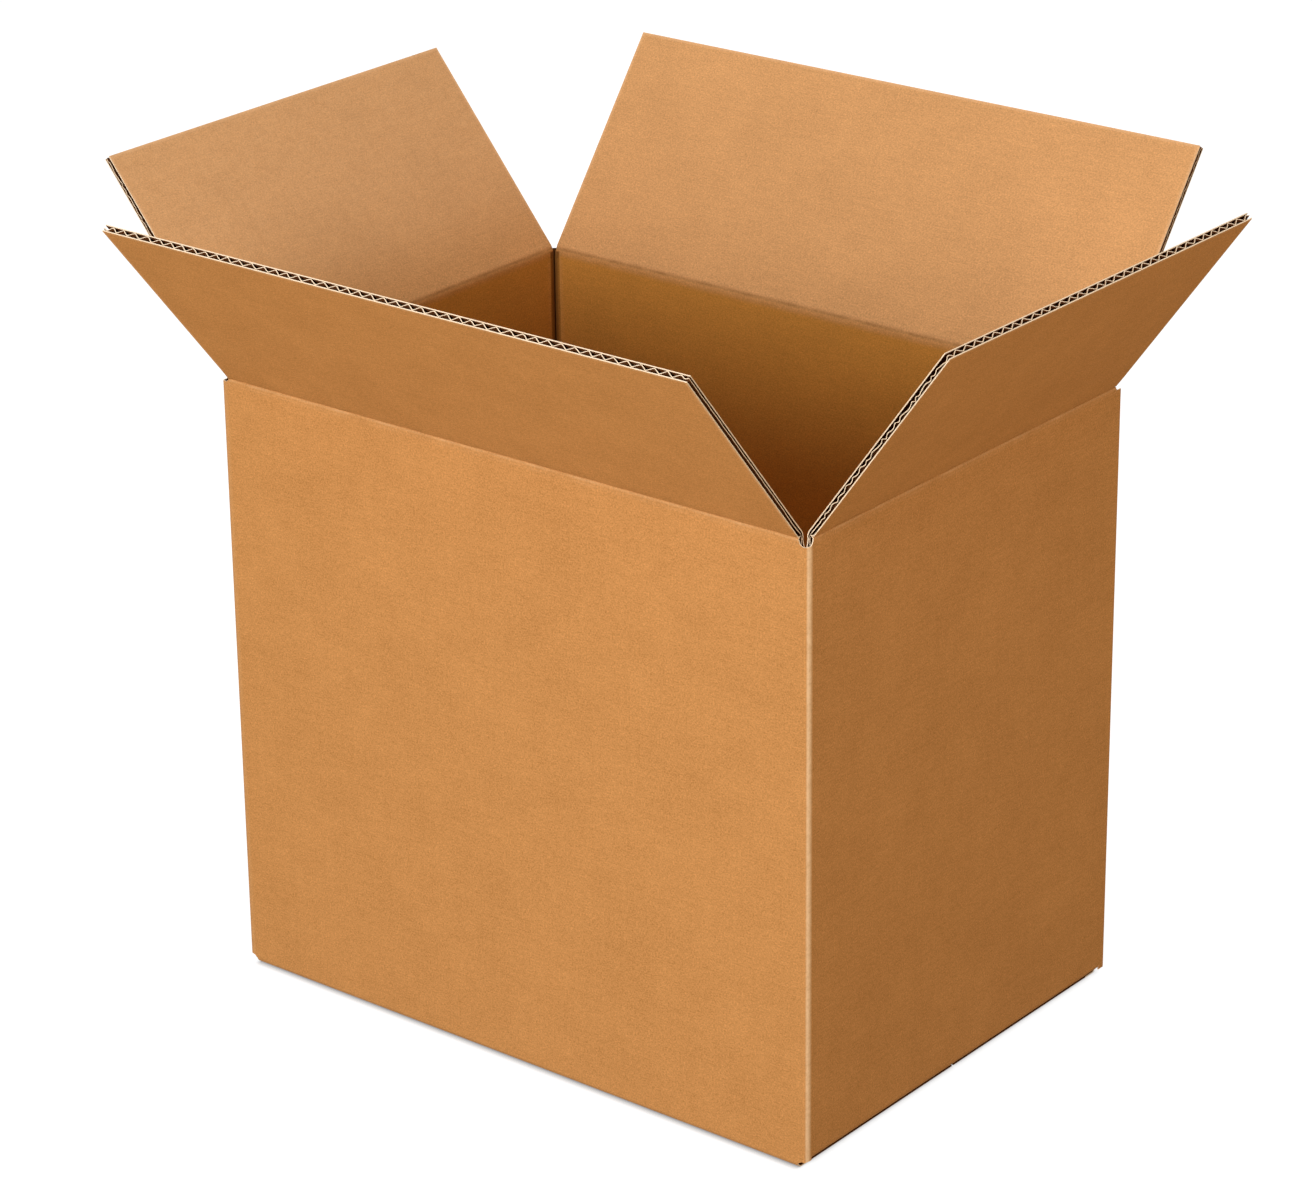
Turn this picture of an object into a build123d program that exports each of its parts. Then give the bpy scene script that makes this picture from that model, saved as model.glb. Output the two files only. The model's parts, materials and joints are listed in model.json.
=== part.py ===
from build123d import *
import os
from dataclasses import dataclass
from math import cos, radians, sin, sqrt, tan

# Regular slotted carton folded from one sheet of single-wall corrugated board, standing open.
# X runs along the long walls, Y from front to back, Z up from the floor. Millimetres and degrees.

# Outside of the folded box
box_length = 380.0
box_width = 270.0
wall_height = 340.0       # floor to the creases of the open flaps

# Corrugated board
board = 4.0
liner = 0.6               # each flat paper face
medium = 0.45             # fluted paper between the faces
flute_pitch = 7.8
flute_foot_share = 0.76   # open width of a flute at its liner, of the pitch
flute_crest_share = 0.12  # open width at its crest, of the pitch

# Folds of the walls
fold_radius = 3.6         # outside of the vertical and bottom folds
corner_groove = 2.8       # crushed score in the inside corners
lower_overcut = 2.0       # slot past the lower folds of the short walls
slot_round = 3.0          # rounded end of each slot
side_clearance = 1.0      # flap's side edge to the next wall's inside
seam_gap = 1.5            # between the tips of two long flaps when shut

# Slots past the upper creases, cut unevenly deep into the walls
near_overcut = 4.0        # front right corner
left_overcut = 2.0        # front left
far_overcut = 0.5         # back left
joint_overcut = 2.0       # back right

# Glued joint, where the back wall's tab lies inside the right wall
tab_width = 36.0
tab_thickness = 2.6       # the tab is crushed
tab_margin = 8.0
tab_taper = 10.0
joint_setback = 0.5       # right wall's cut edge behind the back wall's face
joint_groove = 2.4        # rounded fold beside that cut edge
joint_bulge_share = 0.37  # how far the round of that fold stands in from its sharp corner

# Creases of the open flaps
crease_share = 0.55       # depth of the axis in the board, from the outside
bead_radius = 0.5         # crushed board rolled round the axis
crease_gap = 0.25
shut_gap = 0.4            # between shut long flaps and the short ones under them
crushed_band = 7.0        # axis to where the flutes stand open
open_limit = 110.0        # outwards from upright
shut_limit = 90.0         # inwards from upright
straight = 180.0

# Angles from upright at which the flaps stand
front_angle = 39.4
back_angle = 37.0
left_angle = 39.0
right_angle = 36.0

# Worked out from the sizes above
flap_inset = board + side_clearance
flap_reach = (box_width - seam_gap) / 2
crease_depth = board * crease_share
post_bottom = board + lower_overcut
overrun = board           # how far cuts run past what they cut

# Shut, the long flaps lie one board above the short ones. Part of that step is in the height of the axis,
# part in how far the flap's face stands off it, so that the open flaps show their creases at one height.
mean_angle = radians((front_angle + back_angle + left_angle + right_angle) / 4)
half_step = (board + shut_gap) / 2
face_shift = half_step * sin(mean_angle) / (1 + sin(mean_angle))
axis_shift = half_step - face_shift
mitre = crease_depth * tan(mean_angle / 2)
long_face = crease_depth + face_shift
short_face = crease_depth - face_shift
long_axis = wall_height + mitre + axis_shift
short_axis = wall_height + mitre - axis_shift


@dataclass
class Side:
    """One wall with its two flaps; inward is the wall's direction into the box."""

    name: str
    inward: tuple
    half_depth: float   # box centre to the wall's outside
    half_span: float    # half the width of its flaps
    floor: float        # underside of its bottom flap
    axis: float         # height of its upper crease's axis
    face: float         # that axis to the outside of the open flap
    angle: float

    def plane(self, depth, height):
        """Local x points inwards, y up and z along the wall, from a point so deep in the wall."""
        x, y = self.inward
        reach = depth - self.half_depth
        return Plane(origin=(x * reach, y * reach, height), x_dir=(x, y, 0), z_dir=(y, -x, 0))

    def corner(self, end):
        """Signs of X and Y at the corner on one end of the wall."""
        x, y = self.inward
        return end * y - x, -end * x - y

    def wedges(self):
        """Half-angles of the crushed board beside the axis: wall outside, wall inside, flap outside, inside."""
        outer = (straight - open_limit) / (crease_depth + self.face)
        inner = (straight - shut_limit) / (2 * board - crease_depth - self.face)
        return (
            radians(outer * crease_depth),
            radians(inner * (board - crease_depth)),
            radians(outer * self.face),
            radians(inner * (board - self.face)),
        )


long_span = box_length / 2 - flap_inset
short_span = box_width / 2 - flap_inset
front = Side("front", (0, 1), box_width / 2, long_span, 0, long_axis, long_face, front_angle)
back = Side("back", (0, -1), box_width / 2, long_span, 0, long_axis, long_face, back_angle)
left = Side("left", (1, 0), box_length / 2, short_span, board, short_axis, short_face, left_angle)
right = Side("right", (-1, 0), box_length / 2, short_span, board, short_axis, short_face, right_angle)
sides = [front, back, left, right]

# Corners by their signs of X and Y, with the depth of their slots; the last is the glued joint
joint_corner = (1, 1)
overcuts = {
    (1, -1): near_overcut,
    (-1, -1): left_overcut,
    (-1, 1): far_overcut,
    joint_corner: joint_overcut,
}
folds = [corner for corner in overcuts if corner != joint_corner]


def post_top(corner):
    """Height of the board under the slot at a corner."""
    return wall_height - overcuts[corner]


def seat_point(angle):
    """Where a bevel of the wall meets the round seat of the crease, from the axis."""
    seat = bead_radius + crease_gap
    run = sqrt(seat**2 - (crease_gap * sin(angle)) ** 2) - crease_gap * cos(angle)
    return run * sin(angle), crease_gap + run * cos(angle)


def wall_panel(side):
    """A wall with its bottom flap, folded in one section, up to the crushed lips of its upper crease."""
    outside, inside, _, _ = side.wedges()
    apex = side.axis - crease_gap
    outer_lip = (0, apex - crease_depth / tan(outside))
    inner_lip = (board, apex - (board - crease_depth) / tan(inside))
    outer_x, outer_drop = seat_point(outside)
    inner_x, inner_drop = seat_point(inside)
    outer_seat = (crease_depth - outer_x, side.axis - outer_drop)
    inner_seat = (crease_depth + inner_x, side.axis - inner_drop)
    seat_bottom = (crease_depth, side.axis - bead_radius - crease_gap)
    fold_start = (fold_radius, side.floor)
    fold_end = (0, side.floor + fold_radius)
    flap_top = side.floor + board
    outline = Polyline((flap_reach, flap_top), (flap_reach, side.floor), fold_start)
    outline += RadiusArc(fold_start, fold_end, fold_radius)
    outline += Polyline(fold_end, outer_lip, outer_seat)
    outline += ThreePointArc(outer_seat, seat_bottom, inner_seat)
    outline += Polyline(inner_seat, inner_lip, (board, flap_top), (flap_reach, flap_top))
    panel = extrude(make_face(outline), amount=side.half_span, both=True)
    return side.plane(0, 0).location * panel


def slot_end(side, end):
    """Rounded end of a slot, in the angle between a wall's crown and the corner post at one end of it."""
    top = post_top(side.corner(end))
    radius = min(slot_round, wall_height - top, flap_inset)
    rim = (side.half_span, top + radius)
    foot = (side.half_span + radius, top)
    quarter = Polyline(rim, (side.half_span, top), foot) + RadiusArc(foot, rim, radius)
    piece = extrude(make_face(quarter), amount=board)
    if end > 0:
        piece = mirror(piece, about=Plane.YZ)
    frame = side.plane(0, 0)
    upright = Plane(origin=frame.origin, x_dir=-frame.z_dir, z_dir=frame.x_dir)
    return upright.location * piece


def corner_point(corner, from_x, from_y):
    """A point so far inside two outer faces that meet at a corner."""
    side_x, side_y = corner
    return side_x * (box_length / 2 - from_x), side_y * (box_width / 2 - from_y)


def post(outline, corner):
    """An upright stretch of board at a corner, between the slots above and below it."""
    return Pos(0, 0, post_bottom) * extrude(make_face(outline), amount=post_top(corner) - post_bottom)


def folded_post(corner):
    """A vertical fold: a rounded corner as wide as the slots above and below it."""

    def at(from_x, from_y):
        return corner_point(corner, from_x, from_y)

    middle = fold_radius * (1 - sin(radians(straight / 4)))
    outline = Polyline(at(flap_inset, board), at(flap_inset, 0), at(fold_radius, 0))
    outline += ThreePointArc(at(fold_radius, 0), at(middle, middle), at(0, fold_radius))
    outline += Polyline(
        at(0, fold_radius), at(0, flap_inset), at(board, flap_inset), at(board, board), at(flap_inset, board)
    )
    return post(outline, corner)


def joint_post():
    """The back right corner: the right wall's cut edge beside the fold of the back wall's tab."""

    def at(from_x, from_y):
        return corner_point(joint_corner, from_x, from_y)

    outline = Polyline(
        at(0, flap_inset),
        at(0, joint_setback),
        at(board, joint_setback),
        at(board, 0),
        at(flap_inset, 0),
        at(flap_inset, board),
        at(board, board),
        at(board, flap_inset),
        at(0, flap_inset),
    )
    return post(outline, joint_corner)


def joint_cut():
    """The groove along the glued joint, where the tab folds in beside the right wall's cut edge."""

    def at(from_x, from_y):
        return corner_point(joint_corner, from_x, from_y)

    bulge = joint_groove * joint_bulge_share
    start = at(board, joint_groove)
    end = at(board + joint_groove, 0)
    outline = ThreePointArc(start, at(board + bulge, bulge), end)
    outline += Polyline(end, at(board + joint_groove, -overrun), at(board, -overrun), start)
    return post(outline, joint_corner)


def glue_tab():
    """The tab on the back wall, glued inside the right wall."""
    frame = Plane(origin=(box_length / 2 - board, box_width / 2, 0), x_dir=(0, -1, 0), z_dir=(-1, 0, 0))
    low = post_bottom + tab_margin
    high = post_top(joint_corner) - tab_margin
    outline = Polyline(
        (board, low), (tab_width, low + tab_taper), (tab_width, high - tab_taper), (board, high), close=True
    )
    return frame.location * extrude(make_face(outline), amount=tab_thickness)


def score_groove(corner):
    """The crushed score in an inside corner."""
    x, y = corner_point(corner, board, board)
    low = 2 * board
    height = wall_height + overrun - low
    groove = Cylinder(corner_groove, height, align=(Align.CENTER, Align.CENTER, Align.MIN))
    return Pos(x, y, low) * groove


def box_body():
    """Walls, bottom and glued joint: one folded sheet, closed by its glued bottom flaps."""
    pieces = [wall_panel(side) for side in sides]
    pieces += [folded_post(fold) for fold in folds]
    pieces += [joint_post(), glue_tab()]
    pieces += [slot_end(side, end) for side in sides for end in (-1, 1) if side.corner(end) in folds]
    cuts = [score_groove(fold) for fold in folds] + [joint_cut()]
    body = pieces[0]
    for piece in pieces[1:]:
        body += piece
    for cut in cuts:
        body -= cut
    return body


def flute_voids(side):
    """The open flutes across a flap: each pitch has one on the outer liner and one on the inner."""
    count = int(2 * side.half_span / flute_pitch)
    foot = flute_pitch * flute_foot_share / 2
    crest = flute_pitch * flute_crest_share / 2
    height = board - 2 * liner - medium
    outer = liner - side.face
    inner = board - side.face - liner
    voids = []
    for index in range(count + 1):
        middle = (index - count / 2) * flute_pitch
        shapes = [(middle, inner, -height)]
        if index < count:
            shapes.append((middle + flute_pitch / 2, outer, height))
        for centre, base, rise in shapes:
            points = [
                (centre - foot, base),
                (centre + foot, base),
                (centre + crest, base + rise),
                (centre - crest, base + rise),
            ]
            voids.append(make_face(Polyline(*points, close=True)))
    return voids


def flap(side):
    """An open flap: fluted board, crushed along its root to a bead that turns on the crease's axis."""
    _, _, outside, inside = side.wedges()
    inner = board - side.face
    outer_neck = (-bead_radius * sin(outside), bead_radius * cos(outside))
    inner_neck = (bead_radius * sin(inside), bead_radius * cos(inside))
    outline = Polyline(
        inner_neck,
        (inner, inner / tan(inside)),
        (inner, crushed_band),
        (-side.face, crushed_band),
        (-side.face, side.face / tan(outside)),
        outer_neck,
    )
    outline += ThreePointArc(outer_neck, (0, -bead_radius), inner_neck)
    half_span = side.half_span - crease_gap
    root = extrude(make_face(outline), amount=half_span, both=True)

    frame = Plane(origin=(0, crushed_band, 0), x_dir=(0, 0, 1), z_dir=(0, 1, 0))
    section = Pos(0, board / 2 - side.face) * Rectangle(2 * half_span, board) - flute_voids(side)
    length = flap_reach - crease_depth - crushed_band
    sheet = frame.location * extrude(section, amount=length)
    return side.plane(crease_depth, side.axis).location * Rot(0, 0, side.angle) * (root + sheet)


os.makedirs("parts", exist_ok=True)
export_step(box_body(), "parts/box_body.step")
for side in sides:
    export_step(flap(side), f"parts/{side.name}_flap.step")
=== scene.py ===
import json
from math import acos, asin, cos, pi, radians, sin, sqrt, tan

import bpy
import numpy as np
from mathutils import Matrix, Vector


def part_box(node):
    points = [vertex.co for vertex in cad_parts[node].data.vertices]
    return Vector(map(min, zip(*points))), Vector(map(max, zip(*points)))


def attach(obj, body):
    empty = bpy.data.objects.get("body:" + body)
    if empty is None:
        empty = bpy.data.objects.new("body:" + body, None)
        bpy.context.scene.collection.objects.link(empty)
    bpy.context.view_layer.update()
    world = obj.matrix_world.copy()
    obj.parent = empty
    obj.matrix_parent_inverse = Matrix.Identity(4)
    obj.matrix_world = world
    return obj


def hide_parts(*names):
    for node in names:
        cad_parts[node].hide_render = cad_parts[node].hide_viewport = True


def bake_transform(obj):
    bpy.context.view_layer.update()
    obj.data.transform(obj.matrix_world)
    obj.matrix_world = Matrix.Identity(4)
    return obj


# Open carton of single-wall corrugated board. Every wall and flap is two paper liners with a fluted
# paper between them, so that cut edges and slots show the real layers.
# Lengths are in millimetres until a mesh is made; the frame is in metres.

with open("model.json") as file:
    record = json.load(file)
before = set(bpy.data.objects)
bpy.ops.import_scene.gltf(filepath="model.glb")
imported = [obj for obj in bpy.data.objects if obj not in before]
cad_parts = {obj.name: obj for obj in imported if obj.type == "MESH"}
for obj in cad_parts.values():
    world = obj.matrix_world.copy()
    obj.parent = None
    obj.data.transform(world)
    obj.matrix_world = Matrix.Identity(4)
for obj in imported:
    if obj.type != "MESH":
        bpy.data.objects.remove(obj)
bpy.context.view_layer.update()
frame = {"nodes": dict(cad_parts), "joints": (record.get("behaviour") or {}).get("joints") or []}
mm = 0.001

# Board
board = 4.0
liner = 0.6
medium = 0.45              # the fluted paper between the liners
flute_pitch = 7.8
flute_swing = (board - 2 * liner - medium) / 2
flute_points = 12          # points to one flute

# Folds and slots of the sheet
open_limit = 110.0         # flaps' outer limit, from upright
fold_before = 1.6          # a fold's round, on the wall before it and on the wall after it
fold_after = 4.2
slot_half = 5.0            # fold line to the flaps' side edges
slot_round = 3.0
slot_step = 0.02           # width of the step between a slot's end and what stands beside it
post_bottom = 4.4          # floor up to the lower slots' ends
arch_drop = 0.6            # how far their arches may reach below the walls' own lower ends

# Bottom
bottom_fold_radius = 3.6
bottom_start = 10.0        # outside of a wall to where its bottom flap's own board starts
bottom_reach = 134.25      # outside of a wall to the tip of its bottom flap
bottom_ease = 0.25         # how far the bottom flaps are wider than the top ones, at each side
inner_start = 8.0          # inside of a bottom flap up to where the wall's own inner liner starts
score_corner = 0.5         # the folded-in score inside a bottom fold
score_round = 0.6
hair = 0.001               # keeps the ends of a round apart from its neighbours

# Upper creases
crease_below = 5.0         # crease down to where the wall's own liners end
crease_above = 8.0         # crease up to where the flap's own board starts
crease_fade = 2.0          # length over which the inner groove fades towards both
crease_turn = 1.0          # height above the crease up to which a line still counts as the wall's
lip_radius = 0.9
lip_steps = np.array((0, 0.03, 0.06, 0.09, 0.2, 0.5, 1))    # from the lip to the flap's own board
pinch_depth = 1.1
pinch_gap = 0.15
crushed_level = 2.6        # the crushed medium at a crease, from the outside
crushed_share = 0.7        # how much thinner it is there
crushed_width = 1.8
inner_bend = 2.2
groove_depth = 0.3
groove_width = 1.1
inner_lip = 0.05           # raised lips beside the inner groove
inner_lip_offset = 2.6
inner_lip_width = 1.2
blend_half = 1.3

# Inside corners: the crushed score is a shallow channel with a slit at the fold
channel_half = 7.6         # outside of the next wall to the channel's rim
channel_foot = 7.1
channel_depth = 3.2        # outside of a wall to the channel's bottom
channel_rise = 0.2         # from the channel's foot to the slit's mouth
channel_rounds = (0.3, 0.25, 0.3)
channel_end = 0.3          # crease down to where the channel ends, and the length that it fades over
channel_fade = 1.2
slit_mouth = 4.1
slit_depth = 2.5
drop_run = 0.8             # a slot's side to where the inner liner has its full drop

# Fluted paper beside the upper slots
beside_gap = 0.2
beside_reach = 16.0        # fold line to its hidden end
beside_crush = 6.0         # how far from the slot it is crushed
beside_shift = 0.5
beside_height = 30.0
beside_top = 0.3           # how far it ends below the walls' liners

# Glued joint
tab_width = 36.0
tab_thickness = 2.6
tab_margin = 8.0
tab_taper = 10.0
joint_setback = 0.5
joint_groove = 2.4
joint_gap = 0.4            # lower end of the wall to the fluted paper in its cut edge
joint_steps = np.array((0.1, 1.5, 4))           # its points, from the cut edge inwards

# Side edges of the flaps, upper and lower
edge_margin = 4.0          # cut edge to where the flutes run undisturbed
edge_width = 1.7           # how far in the cut disturbs them
edge_level_run = 12.0      # from a flap's start to where its edge has its own level
edge_swing_run = 8.0       # likewise, to where it swings in full
medium_overlap = 1.0       # how far the fluted paper reaches under the crease

# Where the meshes have points: steps from a panel's cut edges, distances from a fold line on the walls and
# from the next wall's outside at a crease's ends, and shares of the walls' height
rim_steps = np.array((0, 0.6, 2, 5, 12, 30))
panel_spacing = 40.0
edge_spacing = 0.9
crease_spacing = 6.0
inner_spacing = 0.35       # of the inner liner through a crease
medium_spacing = 0.6
same_point = 1e-4
fold_steps = (2.0, 2.5, 3.0, 3.5, 4.0, 4.4, 4.7, 4.9, slot_half, slot_half + slot_step)
fold_stations = np.array((*fold_steps, 6, 8, 11, 16, 25, 40))
crease_stations = np.array((slot_half, 6, 6.9, channel_foot, 7.35, channel_half, 8, 9))
wall_shares = np.array((0, 0.004, 0.02, 0.06, 0.15, 0.3, 0.45, 0.6, 0.75, 0.88, 0.95, 0.985, 1))

# Unevenness of the paper: how much, and over what length
flute_drift, flute_drift_run = 0.55, 25.0       # of the flutes' places
flute_jitter, flute_jitter_run = 0.12, 3.0
flute_dent, flute_dent_run = 0.07, 9.0          # of their height, as a share
swing_drift, swing_drift_run = 1.6, 14.0        # of the swings on a side edge, in radians
swing_mean, swing_stray, swing_stray_run = 0.75, 0.35, 6.0
crease_stray, crease_stray_run = 0.14, 14.0
crease_mark_stray, crease_mark_stray_run = 0.4, 16.0
joint_stray, joint_stray_run = 0.7, 40.0

# Looks of the paper, in the order of each piece's material slots, and layers of the board
OUTSIDE, INSIDE, EDGE, FLUTE = range(4)
OUTER, MIDDLE, INNER = range(3)
sharp_angle = radians(40)

# Marks on the paper, pale above zero and dark below it: wear, with painted highlights, sheen and shade
rim_wear, rim_wear_width = 0.35, 1.0
sheen_run = 40.0          # from a flap's start to where the sheen painted on its inside is palest
crease_wear_and_shading_lines = {      # lines along a crease, by layer: strength, height above the crease and width; pale: wear and painted highlight, dark: painted shade
    OUTER: ((0.22, -0.9, 0.6), (0.07, -3, 0.5)),
    MIDDLE: (),
    INNER: ((0.06, -2.4, 2), (-0.3, 0, 0.9)),
}
crease_shade, crease_shade_run = -0.14, 3.0     # painted shade on a flap's outside, from its crease on
score_places = (3, 3.6, channel_foot - 0.4, channel_foot, channel_half, channel_half + 1.4)
score_shades = (-1, -0.75, -0.7, 0, 0.1, 0)     # painted shade in the inside corners' channels, at those distances from the fold, and pale rims
fold_wear_and_highlight_width = 0.5                           # of the pale line before a fold: wear, and a painted highlight
fold_band_places = (0, 2.6, 5)                        # distances past a fold, and how pale its round is there: wear, and a painted highlight
fold_band_shares = (1.2, 1, 0)
bottom_wear, bottom_wear_place, bottom_wear_width = 0.3, 0.3, 0.15      # as shares of a bottom fold's run

joints = {joint["child"]: joint for joint in frame["joints"]}
half_length, half_width = np.array(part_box("box_body")[1])[:2] / mm


class Side:
    """One wall with its flaps. Depth runs inwards from the wall's outside, along follows the sheet."""

    def __init__(self, name, inward, half_depth, half_wall, middle, floor):
        self.name = name
        self.inward = np.array(inward, float)
        self.along = np.array((inward[1], -inward[0]), float)
        self.half_depth = half_depth
        self.half_wall = half_wall
        self.middle = middle          # the wall's middle on the flat sheet
        self.floor = floor            # underside of its bottom flap
        self.flap = f"{name}_flap"
        joint = joints[self.flap]
        self.angle = radians(open_limit - joint["range_deg"][1])
        axis = np.array(joint["pos_m"]) / mm
        points = np.array([vertex.co for vertex in frame["nodes"][self.flap].data.vertices]) / mm - axis
        out = -points[:, :2] @ self.inward
        up = points[:, 2]
        face = (out * cos(self.angle) - up * sin(self.angle)).max()
        reach = (out * sin(self.angle) + up * cos(self.angle)).max()
        axis_depth = half_depth + axis[:2] @ self.inward
        drop = (axis_depth * cos(self.angle) - face) / sin(self.angle)
        self.half_flap = np.abs(points[:, :2] @ self.along).max()
        self.crease = axis[2] + drop
        self.flap_length = reach - axis_depth * sin(self.angle) - drop * cos(self.angle)

        # In the plane of depth and height: the way to the flap's tip, the way through it to its inside, the
        # way midway between the wall's and the flap's, and the crease on the outside and on the inside
        self.to_tip = np.array((-sin(self.angle), cos(self.angle)))
        self.to_inside = np.array((cos(self.angle), sin(self.angle)))
        self.halfway = np.array((cos(self.angle / 2), sin(self.angle / 2)))
        self.fold = np.array((0, self.crease))
        self.inner_fold = self.fold + self.halfway * board / cos(self.angle / 2)

    def place(self, depth, height, along):
        """Points of the shared frame, in millimetres, from arrays of the wall's own coordinates."""
        depth, height, along = np.broadcast_arrays(depth, height, along)
        plan = (depth - self.half_depth)[..., None] * self.inward + along[..., None] * self.along
        return np.concatenate([plan, height[..., None]], -1)

    def on_sheet(self, along, height):
        """Places on the flat sheet, from arrays of places along the wall and of heights."""
        return np.stack(np.broadcast_arrays(self.middle + along, height), -1)


half_round = half_length + half_width
front = Side("front", (0, 1), half_width, half_length, 0, 0)
right = Side("right", (-1, 0), half_length, half_width, half_round, board)
left = Side("left", (1, 0), half_length, half_width, -half_round, board)
back = Side("back", (0, -1), half_width, half_length, -2 * half_round, 0)
sides = [front, back, left, right]
crown_base = front.crease - crease_below

# How deep the slots run past the creases into the walls, by the wall before each corner
slot_depths = {front: 4.0, left: 2.0, back: 0.5, right: 2.0}
inner_drops = {front: 1.6, left: 0.4, back: 0.0, right: 0.0}    # how far the inner liner ends lower there
fold_wear_and_highlight = {front: 1.0, left: 0.1, back: 0.4, right: 0.0}      # how pale the folds are, likewise: wear, and a painted highlight on their rounds, strongest on the near fold


# Lines in a plane

def round_path(points, radii, steps=8):
    """A line through points, with each inner corner rounded to its radius."""
    points = [np.array(point, float) for point in points]
    made = [points[0]]
    for before, corner, after, radius in zip(points, points[1:], points[2:], radii):
        start = (before - corner) / np.linalg.norm(before - corner)
        end = (after - corner) / np.linalg.norm(after - corner)
        if not radius:
            made.append(corner)
            continue
        half = acos(np.clip(start @ end, -1, 1)) / 2
        middle = corner + (start + end) / np.linalg.norm(start + end) * radius / sin(half)
        first = corner + start * radius / tan(half) - middle
        last = corner + end * radius / tan(half) - middle
        turn = pi - 2 * half
        for share in np.linspace(0, 1, steps + 1):
            made.append(middle + (first * sin((1 - share) * turn) + last * sin(share * turn)) / sin(turn))
    made.append(points[-1])
    return np.array(made)


def path_length(points):
    """How far along its line each point lies."""
    return np.concatenate([[0], np.cumsum(np.linalg.norm(np.diff(points, axis=0), axis=1))])


def run_from(points, place):
    """How far along its line each point lies from the one nearest to a place."""
    run = path_length(points)
    return run - run[np.argmin(np.linalg.norm(points - place, axis=1))]


def resample(points, spacing):
    """The same line, with points at an even spacing and its ends kept."""
    run = path_length(points)
    wanted = np.linspace(0, run[-1], max(2, round(run[-1] / spacing) + 1))
    return np.stack([np.interp(wanted, run, points[:, axis]) for axis in (0, 1)], 1)


def line_normals(points):
    """Unit normals to the left of a line, and how far a mitre there has to reach."""
    steps = np.diff(points, axis=0)
    steps = steps / np.linalg.norm(steps, axis=1)[:, None]
    left = np.stack([-steps[:, 1], steps[:, 0]], 1)
    normals = np.vstack([left[:1], left[:-1] + left[1:], left[-1:]])
    normals = normals / np.maximum(np.linalg.norm(normals, axis=1), 1e-9)[:, None]
    mitre = np.sum(normals * np.vstack([left[:1], left]), 1)
    return normals, 1 / np.clip(mitre, 0.6, 1)


def offset_line(points, distance):
    """A line moved to its left by a distance."""
    normals, mitre = line_normals(points)
    return points + normals * (mitre * distance)[:, None]


def wander(places, seed, waves=5):
    """A smooth, seeded random line between about -1 and 1, with about one swing per unit."""
    draw = np.random.RandomState(seed)
    total = np.zeros_like(np.asarray(places, float))
    for _ in range(waves):
        total += np.sin(places * draw.uniform(2, 7) + draw.uniform(0, 2 * pi))
    return total / sqrt(waves)


def bell(distance, width):
    """1 at no distance, falling smoothly to almost nothing at twice the width."""
    return np.exp(-((distance / width) ** 2))


def fluted(phase, sharpness=0.96):
    """The medium's wave, between a sine and a zigzag."""
    return np.arcsin(sharpness * np.sin(phase)) / asin(sharpness)


# Sheets of paper

class Paper:
    """Collects the closed thin sheets of one piece."""

    def __init__(self):
        self.points = []
        self.faces = []
        self.looks = []
        self.places = []
        self.wear_and_light = []
        self.count = 0

    def sheet(self, face, behind, places, look, look_behind, wear_and_light=0.0, rim=EDGE, top=None):
        """A sheet from two grids of points, its visible face and the one behind it, closed along its rim.

        rim is the look of that rim, and top its look along the grid's last column, where that differs."""
        rows, columns = face.shape[:2]
        number = self.count + np.arange(rows * columns).reshape(rows, columns)
        other = number + rows * columns
        self.count += 2 * rows * columns
        wear_and_light = np.broadcast_to(wear_and_light, (rows, columns)).ravel()
        for grid in (face, behind):
            self.points.append(grid.reshape(-1, 3))
            self.places.append(places.reshape(-1, 2))
            self.wear_and_light.append(wear_and_light)
        across = np.cross(face[1:, :-1] - face[:-1, :-1], face[:-1, 1:] - face[:-1, :-1])
        outwards = np.sum(across * (face - behind)[:-1, :-1]) > 0

        def add(a, b, c, d, kind, forwards):
            quads = np.stack([a, b, c, d], -1).reshape(-1, 4)
            self.faces.append(quads if forwards else quads[:, ::-1])
            self.looks.append(np.broadcast_to(kind, len(quads)))

        def add_grid(n, kind, forwards):
            add(n[:-1, :-1], n[1:, :-1], n[1:, 1:], n[:-1, 1:], kind, forwards)

        top = rim if top is None else top
        add_grid(number, look, outwards)
        add_grid(other, look_behind, not outwards)
        add(number[:-1, 0], other[:-1, 0], other[1:, 0], number[1:, 0], rim, outwards)
        add(number[:-1, -1], number[1:, -1], other[1:, -1], other[:-1, -1], top, outwards)
        add(number[0, :-1], number[0, 1:], other[0, 1:], other[0, :-1], rim, outwards)
        add(number[-1, :-1], other[-1, :-1], other[-1, 1:], number[-1, 1:], rim, outwards)

    def piece(self, name, materials):
        """The sheets as one mesh object, with their places on the flat sheet as its UV map."""
        points = np.concatenate(self.points) * mm
        faces = np.concatenate(self.faces)
        mesh = bpy.data.meshes.new(name)
        mesh.from_pydata(points.tolist(), [], faces.tolist())
        for material in materials:
            mesh.materials.append(material)
        mesh.polygons.foreach_set("material_index", np.concatenate(self.looks).astype(np.int32))
        mesh.polygons.foreach_set("use_smooth", np.ones(len(faces), bool))
        places = np.concatenate(self.places)[faces.ravel()] * mm
        mesh.uv_layers.new(name="sheet").uv.foreach_set("vector", places.astype(np.float32).ravel())
        marks = mesh.attributes.new("wear_and_light", "FLOAT", "POINT")
        marks.data.foreach_set("value", np.concatenate(self.wear_and_light).astype(np.float32))
        mesh.set_sharp_from_angle(angle=sharp_angle)
        mesh.update()
        made = bpy.data.objects.new(name, mesh)
        bpy.context.scene.collection.objects.link(made)
        return made


def spread(half):
    """Places from -half to half, close together towards both ends."""
    middle = half - rim_steps[-1]
    flat = np.linspace(0, middle, round(middle / panel_spacing) + 1)
    side = np.concatenate([flat, half - rim_steps[::-1][1:]])
    return np.concatenate([-side[::-1], side[1:]])


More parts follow.
